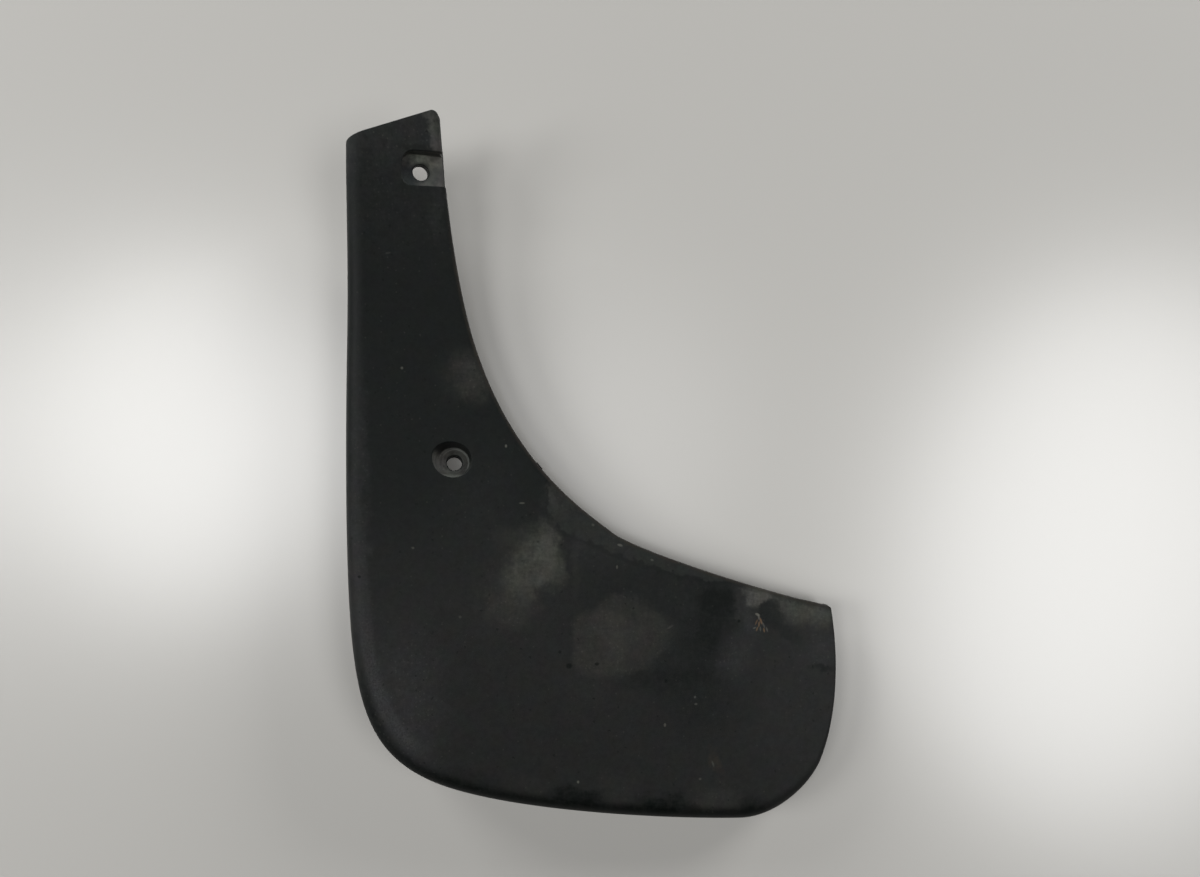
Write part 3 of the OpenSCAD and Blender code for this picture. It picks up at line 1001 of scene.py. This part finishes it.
def stain_mask(graph, place, stain):
    """1 inside a stain and 0 outside."""
    away = graph.vector("SUBTRACT", place, (*stain.middle, 0))
    if stain.turn:
        inputs = {"Vector": away, "Angle": -math.radians(stain.turn)}
        away = graph.node("ShaderNodeVectorRotate", inputs, rotation_type="Z_AXIS")
    share = graph.vector("DIVIDE", away, (*stain.half, 1))
    if stain.boxy:
        squares = graph.vector("MULTIPLY", share, share)
        far = graph.math("SQRT", graph.length(squares))
    else:
        far = graph.length(share)
    return graph.step(far, 1 + stain.soft, 1 - stain.soft)


def stain_masks(graph, place, crisp, stains, cover):
    """How far each stain covers. Boxes keep a crisp outline."""
    masks = []
    for stain in stains:
        shape = stain_mask(graph, crisp if stain.boxy else place, stain)
        masks.append(graph.times(shape, stain.strength, cover))
    return masks


def add_stains(graph, stains, masks, colour):
    """Lays stains on a colour, one over another."""
    for stain, mask in zip(stains, masks):
        colour = graph.cover(colour, stain.tone, mask)
    return colour


def dust_mask(graph, stains, masks):
    """How far the dust covers, whatever its colour."""
    dusty = 0.0
    for stain, mask in zip(stains, masks):
        if stain.tone not in (CLEAN_AND_SHADE_BLACK, BLACK):
            dusty = graph.math("MAXIMUM", dusty, mask)
    return dusty


# Marks in the seats. Each pair is the stretch over which a mark starts or ends, in millimetres: u is measured
# across the screw axis to the hollow edge, v across it up the arm, far away from it, lift up from the floor
UNDER_FACE = (-0.15, -0.5)
SEAT_FAR = (13.5, 13.0)
FLOOR_LIFT = (-0.5, -0.2)
SCREW_PRINT = (1.4, 0.6)
CLEAN_BORE = (0.4, 0.1)
TIP_WALL_LIFT = (0.3, 0.8)
TIP_DUSK_U = (-4.0, 3.0)
TIP_SIDES_V = (3.0, 5.5)
TIP_SIDES_U = (-3.5, 1.0)
TIP_UPPER_V = (0.5, 4.0)
TIP_UPPER_U = (6.5, 1.5)
TIP_CHALK_U = (-5.5, -1.5)
TIP_PAST_WALL = (0.8, 0.4)
MID_WALL_LIFT = (0.4, 0.9)
# Painted shade on the middle seat's upper wall, and on the right part of its wall
MID_TOP_SHADE_LIFT = (1.2, 2.0)
MID_TOP_SHADE_V = (-0.5, 3.0)
MID_RIGHT_SHADE_LIFT = (0.6, 1.4)
MID_RIGHT_SHADE_U = (1.0, 5.0)
# Painted highlights round the middle seat's floor edge and on its lower wall
MID_RING_FAR = (5.4, 5.8)
MID_RING_LIFT = (1.7, 1.1)
MID_RING_V = (-2.0, 2.0)
MID_CRESCENT_V = (-4.8, -6.0)
MID_CRESCENT_U = (5.0, 2.0)
MID_PAST_WALL = (7.0, 6.6)

# How far the sides of the middle seat's marks lean over, and how its wall spreads as it rises
MID_SIDE_LEAN = 0.3
MID_RING_LEAN = 0.5
MID_WALL_SPREAD = 1.25

# How strongly some marks in the seats cover, and the least that lumpy dust falls to
PRINT = 0.4
MID_RIGHT_SHADE = 0.45
CRESCENT_HIGHLIGHT = 0.7
TIP_SIDES_LEAST = 0.4
TIP_UPPER_LEAST = 0.55
TIP_OPEN_END = 0.3
TIP_DUST_LEAST = 0.7
MID_DUST_LEAST = 0.65


def seat_marks(graph, place, seat):
    """Places across a seat's axis, away from it and over the floor, and a mask of the seat's inside."""
    origin, axes = seat_frame(seat)
    gx, gy = face_slopes(seat.x, seat.y)
    away = graph.vector("SUBTRACT", place, tuple(float(c) for c in origin + CENTRING))
    u, v = graph.dot(away, axes[0]), graph.dot(away, axes[1])
    far = graph.math("SQRT", graph.plus(graph.times(u, u), graph.times(v, v)))
    lift = graph.plus(graph.dot(away, axes[2]), seat.depth)
    below = graph.step(graph.dot(away, unit(np.array([-gx, -gy, 1.0]))), *UNDER_FACE)
    inside = graph.times(below, graph.step(far, *SEAT_FAR), graph.step(lift, *FLOOR_LIFT))
    return u, v, far, lift, inside


def by_hole(graph, far, stretch):
    """1 in the screw hole and 0 past a stretch that is measured out from its edge."""
    return graph.step(far, *(HOLE_D / 2 + gap for gap in stretch))


def tip_seat_dust(graph, place, colour):
    """Dust on the open seat's floor, thicker along its sides and thin where a screw head sat."""
    u, v, far, lift, inside = seat_marks(graph, place, TIP_SEAT)
    lumps = graph.lumps(place, size=2.2, detail=3, flat=False)
    tone = graph.mix(graph.step(u, *TIP_DUSK_U), SEAT_DUSK, SEAT_DUST)
    off_middle = graph.math("ABSOLUTE", graph.math("SUBTRACT", v, TIP_SEAT_SHIFT))
    sides = graph.times(graph.step(off_middle, *TIP_SIDES_V), graph.step(u, *TIP_SIDES_U))
    tone = graph.cover(tone, PALE_DUST, sides, graph.at_least(TIP_SIDES_LEAST, lumps))
    upper_side = graph.times(graph.step(v, *TIP_UPPER_V), graph.at_least(TIP_UPPER_LEAST, lumps))
    closed_end = graph.at_least(TIP_OPEN_END, graph.step(u, *TIP_UPPER_U))
    thick = graph.mix(graph.step(u, *TIP_CHALK_U), PALE_DUST, CHALK)
    tone = graph.cover(tone, thick, upper_side, closed_end)
    tone = graph.cover(tone, SEAT_DUSK, by_hole(graph, far, SCREW_PRINT), PRINT)
    tone = graph.cover(tone, CLEAN_AND_SHADE_BLACK, by_hole(graph, far, CLEAN_BORE))
    tone = graph.cover(tone, SEAT_DUST, graph.step(lift, *TIP_WALL_LIFT))
    in_sides = graph.step(off_middle, *(TIP_SEAT_W / 2 + gap for gap in TIP_PAST_WALL))
    in_back = graph.step(u, *(-TIP_SEAT_BACK - gap for gap in TIP_PAST_WALL))
    return graph.cover(colour, tone, inside, in_sides, in_back, graph.at_least(TIP_DUST_LEAST, lumps))


def mid_seat_dust_shade_and_highlights(graph, place, colour):
    """Dust on the middle seat's walls, painted shade on the upper and right part of its wall, and painted
    highlights on its floor's edge and lower wall.
    """
    u, v, far, lift, inside = seat_marks(graph, place, MID_SEAT)
    bearing = graph.math("ABSOLUTE", graph.math("ARCTAN2", v, u))
    rings = graph.lumps(graph.node("ShaderNodeCombineXYZ", {0: far, 1: bearing}), size=0.7, detail=3)
    tone = graph.mix(graph.step(lift, *MID_WALL_LIFT), SEAT_DUST, SEAT_WALL_DUST)
    # Painted shade on the upper wall
    upper_side = graph.step(graph.plus(v, graph.times(u, MID_SIDE_LEAN)), *MID_TOP_SHADE_V)
    tone = graph.cover(tone, LOW_BLACK, graph.step(lift, *MID_TOP_SHADE_LIFT), upper_side)
    # Painted shade on the right part of the wall
    right_side = graph.step(graph.plus(u, graph.times(v, -MID_SIDE_LEAN)), *MID_RIGHT_SHADE_U)
    tone = graph.cover(tone, CLEAN_AND_SHADE_BLACK, graph.step(lift, *MID_RIGHT_SHADE_LIFT), right_side, MID_RIGHT_SHADE)
    # Painted highlight round the floor's edge
    ring = graph.times(graph.step(far, *MID_RING_FAR), graph.step(lift, *MID_RING_LIFT))
    ring_side = graph.step(graph.plus(v, graph.times(u, MID_RING_LEAN)), *MID_RING_V)
    tone = graph.cover(tone, SEAT_HIGHLIGHT, ring, ring_side)
    # Painted highlight on the lower wall
    crescent = graph.times(graph.step(v, *MID_CRESCENT_V), graph.step(u, *MID_CRESCENT_U))
    tone = graph.cover(tone, SEAT_HIGHLIGHT, crescent, CRESCENT_HIGHLIGHT)
    tone = graph.cover(tone, CLEAN_AND_SHADE_BLACK, by_hole(graph, far, CLEAN_BORE))
    spread = graph.times(graph.math("MAXIMUM", lift, 0.0), MID_WALL_SPREAD)
    in_wall = graph.step(graph.math("SUBTRACT", far, spread), *MID_PAST_WALL)
    return graph.cover(colour, tone, inside, in_wall, graph.at_least(MID_DUST_LEAST, rings))


# Stretches of the layers on the face: how far it faces up, heights along Y, and gaps in millimetres
FACING_UP = (0.1, 0.5)
# Over this stretch of Y the face turns from black to the lighter black of the lower flap, a painted sheen
LOW_PART_SHEEN_Y = (5.0, -60.0)
STRIP_RAGGED = 0.8
STRIP_EDGE = (0.0, 0.8)
DARK_LINE_IN = 0.9
DARK_LINE_EDGE = (1.6, 0.2)
BROWN_EDGE = (1.6, 0.5)
BROWN_TOP_Y = (118.0, 92.0)

# What raises the contrast of the streaks, the painted rim shade and the scuffed highlight, and the shares of
# a cover's texture
STREAK_RANGE = (0.7, 1.3)
RIM_RANGE = (0.1, 0.8)
SCUFF_HIGHLIGHT_RANGE = (0.35, 0.6)
SCUFF_HIGHLIGHT_LEAST = 0.25
WEAVE_SHARE = (0.25, 0.6)
LUMPS_SHARE = (0.3, 0.55)

# How strongly each layer covers what is under it
DARK_LINE = 0.28
STRIP = 0.65
RIM_SHADE = 0.7
SCUFF_HIGHLIGHT = 0.85
BROWN = 0.7
SPECKS = 0.07
DUST_SPECKS = 0.15
PITS = 0.6

# Surface: brightness of the grain and of the tint, roughness of clean and dusty skin, gloss, and relief
GRAIN = (0.89, 1.11)
TINT_CHANGE = 0.12
TINT_LOW = 0.94
ROUGHNESS = (0.5, 0.72)
GLOSS = 0.09
RELIEF = 0.35
RELIEF_HEIGHT = 0.00006


class Skin(NamedTuple):
    """Places in millimetres, in the solid, in plan, a little astray and far astray, and masks from 0 to 1."""

    solid: object
    plan: object
    crisp: object
    astray: object
    upper: object
    lumps: object
    texture: object
    cover: object


def read_skin(graph):
    """Works out what the layers are laid with: where a point is, whether it faces up, and two textures."""
    coordinates = graph.tree.nodes.new("ShaderNodeTexCoord").outputs
    solid = graph.vector("MULTIPLY", coordinates["Object"], (1 / MM, 1 / MM, 1 / MM))
    plan = graph.vector("MULTIPLY", coordinates["Object"], (1 / MM, 1 / MM, 0))
    facing = graph.node("ShaderNodeSeparateXYZ", {"Vector": coordinates["Normal"]}, output=2)
    upper = graph.step(facing, *FACING_UP)
    crisp = graph.stray(plan, plan, size=1.1, reach=1.6)
    astray = graph.stray(crisp, plan, size=3.4, reach=4.5)
    astray = graph.stray(astray, plan, size=12, reach=8)
    ways = ((1, 0.4, 0), (0.4, 1, 0))
    streaks = [graph.noise(graph.vector("MULTIPLY", plan, way), size=1.2) for way in ways]
    weave = graph.step(graph.plus(*streaks), *STREAK_RANGE)
    lumps = graph.lumps(plan, size=4.5)
    texture = graph.plus(graph.blend(weave, *WEAVE_SHARE), graph.blend(lumps, *LUMPS_SHARE))
    return Skin(solid, plan, crisp, astray, upper, lumps, texture, graph.times(upper, texture))


def add_strip(graph, skin, colour):
    """Lighter strip beside the hollow edge, with a darker line along its ragged inner side."""
    ragged = graph.plus(graph.value("strip"), graph.blend(skin.lumps, -STRIP_RAGGED, STRIP_RAGGED))
    off_line = graph.math("ABSOLUTE", graph.plus(ragged, DARK_LINE_IN))
    colour = graph.cover(colour, CLEAN_AND_SHADE_BLACK, graph.step(off_line, *DARK_LINE_EDGE), DARK_LINE, skin.cover)
    return graph.cover(colour, STRIP_DUST, graph.step(ragged, *STRIP_EDGE), skin.cover, STRIP)


def add_rim_shade_and_scuff_highlight(graph, skin, colour):
    """Painted shade along the rim round the lower side, broken up by the texture, and the scuffed band round
    the lower corner, which is partly a painted highlight on the turn.
    """
    # Painted shade along the lower rim's turn
    rim = graph.step(graph.times(graph.value("shaded_rim"), skin.texture), *RIM_RANGE)
    colour = graph.cover(colour, CLEAN_AND_SHADE_BLACK, rim, skin.upper, RIM_SHADE)
    # Scuffed band round the lower corner, partly a painted highlight on the turn
    scuff_grain = graph.step(graph.noise(skin.plan, size=0.8, detail=3, rough=0.65), *SCUFF_HIGHLIGHT_RANGE)
    scuff_grain = graph.at_least(SCUFF_HIGHLIGHT_LEAST, scuff_grain)
    return graph.cover(colour, SCUFF_HIGHLIGHT_GREY, graph.value("scuff_highlight"), scuff_grain, skin.upper, SCUFF_HIGHLIGHT)


def add_brown_edge(graph, skin, height, colour):
    """Brown dirt along the very edge, which fades out up the arm."""
    by_edge = graph.step(graph.value("edge_gap"), *BROWN_EDGE)
    return graph.cover(colour, EDGE_BROWN, by_edge, graph.step(height, *BROWN_TOP_Y), skin.texture, BROWN)


def add_specks(graph, skin, dusty, colour):
    """Faint pale specks all over, more of them in the dust, and dark pits."""
    specks = graph.scatter(skin.plan, cell=3.2, radius=0.5, share=0.4, fading=6.0)
    colour = graph.cover(colour, CHALK, specks, skin.upper, SPECKS)
    dust_specks = graph.scatter(skin.plan, cell=1.7, radius=0.5, share=0.6, fading=2.5)
    colour = graph.cover(colour, CHALK, dust_specks, dusty, DUST_SPECKS)
    pits = graph.scatter(skin.crisp, cell=3.4, radius=0.6, share=0.3, fading=3.0)
    return graph.cover(colour, CLEAN_AND_SHADE_BLACK, pits, skin.upper, PITS)


def add_grain(graph, skin, colour):
    """Grain in the brightness, and a slow change of tint."""
    grain = graph.blend(graph.lumps(skin.solid, size=2.4, detail=3, rough=0.75, flat=False), *GRAIN)
    hue = graph.noise(skin.plan, size=7, detail=0, output=1)
    tint = graph.vector("MULTIPLY_ADD", hue, (TINT_CHANGE,) * 3, (TINT_LOW,) * 3)
    return graph.vector("MULTIPLY", graph.vector("MULTIPLY", colour, tint), grain)


def plastic():
    """Worn black plastic with a fine grain, dust in patches, specks and pits, and painted highlights, sheen
    and shade in its colour.
    """
    material = bpy.data.materials.new("mudguard")
    material.use_nodes = True
    graph = Graph(material.node_tree)
    skin = read_skin(graph)
    height = graph.dot(skin.astray, (0, 1, 0))
    # Painted sheen: the lower flap is painted a lighter black than the arm
    colour = graph.mix(graph.step(height, *LOW_PART_SHEEN_Y), BLACK, LOW_BLACK)
    stains = stain_masks(graph, skin.astray, skin.crisp, STAINS, skin.cover)
    dusty = dust_mask(graph, STAINS, stains)
    colour = add_stains(graph, STAINS, stains, colour)
    colour = add_strip(graph, skin, colour)
    colour = add_rim_shade_and_scuff_highlight(graph, skin, colour)
    colour = add_brown_edge(graph, skin, height, colour)
    colour = tip_seat_dust(graph, skin.solid, colour)
    colour = mid_seat_dust_shade_and_highlights(graph, skin.solid, colour)
    colour = add_specks(graph, skin, dusty, colour)
    flecks = stain_masks(graph, skin.plan, skin.plan, FLECKS, skin.upper)
    colour = add_stains(graph, FLECKS, flecks, colour)
    colour = add_grain(graph, skin, colour)
    fine = graph.noise(skin.solid, size=0.55, detail=3, flat=False)
    relief = {"Strength": RELIEF, "Distance": RELIEF_HEIGHT, "Height": fine}
    shader = graph.tree.nodes["Principled BSDF"].inputs
    graph.feed(shader["Base Color"], colour)
    graph.feed(shader["Roughness"], graph.blend(dusty, *ROUGHNESS))
    graph.feed(shader["Specular IOR Level"], GLOSS)
    graph.feed(shader["Normal"], graph.node("ShaderNodeBump", relief))
    return material


mudguard = make_mudguard()
mark_places(mudguard)
mudguard.data.materials.clear()
mudguard.data.materials.append(plastic())
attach(mudguard, "root")
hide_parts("mudguard")

make_floor()
for name, light in LIGHTS.items():
    make_light(name, light)
make_room()
make_camera()
